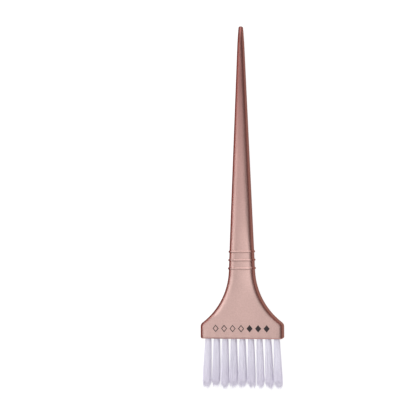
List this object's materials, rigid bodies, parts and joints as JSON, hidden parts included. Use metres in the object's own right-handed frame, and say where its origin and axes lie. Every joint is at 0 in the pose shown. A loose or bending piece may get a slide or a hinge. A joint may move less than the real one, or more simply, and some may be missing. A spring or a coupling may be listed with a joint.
{
  "type": "tint brush",
  "caption": "Flat hair-tint brush: one-piece tapering handle with a flared head, grip rings on its neck, and two rows of feathered filament tufts.",
  "frame": {"origin": "under the middle of the whole brush's box, on the handle's flat back", "axes": "+Y along the brush from the bristle ends to the handle's tip, +X across the head, +Z out of the front face"},
  "size_m": [0.051, 0.222, 0.0098],
  "materials": {
    "rose_gold_plastic": "satin metallic rose gold, moulded",
    "nylon_filament": "pale lavender nylon filament",
    "anchor_wire": "plain flat-rolled wire"
  },
  "bodies": {
    "root": {"handle": "rose_gold_plastic", "tuft_front_1": "nylon_filament", "anchor_front_1": "anchor_wire", "tuft_front_2": "nylon_filament", "anchor_front_2": "anchor_wire", "tuft_front_3": "nylon_filament", "anchor_front_3": "anchor_wire", "tuft_front_4": "nylon_filament", "anchor_front_4": "anchor_wire", "tuft_front_5": "nylon_filament", "anchor_front_5": "anchor_wire", "tuft_front_6": "nylon_filament", "anchor_front_6": "anchor_wire", "tuft_front_7": "nylon_filament", "anchor_front_7": "anchor_wire", "tuft_front_8": "nylon_filament", "anchor_front_8": "anchor_wire", "tuft_front_9": "nylon_filament", "anchor_front_9": "anchor_wire", "tuft_back_1": "nylon_filament", "anchor_back_1": "anchor_wire", "tuft_back_2": "nylon_filament", "anchor_back_2": "anchor_wire", "tuft_back_3": "nylon_filament", "anchor_back_3": "anchor_wire", "tuft_back_4": "nylon_filament", "anchor_back_4": "anchor_wire", "tuft_back_5": "nylon_filament", "anchor_back_5": "anchor_wire", "tuft_back_6": "nylon_filament", "anchor_back_6": "anchor_wire", "tuft_back_7": "nylon_filament", "anchor_back_7": "anchor_wire", "tuft_back_8": "nylon_filament", "anchor_back_8": "anchor_wire", "tuft_back_9": "nylon_filament", "anchor_back_9": "anchor_wire"}
  },
  "joints": []
}
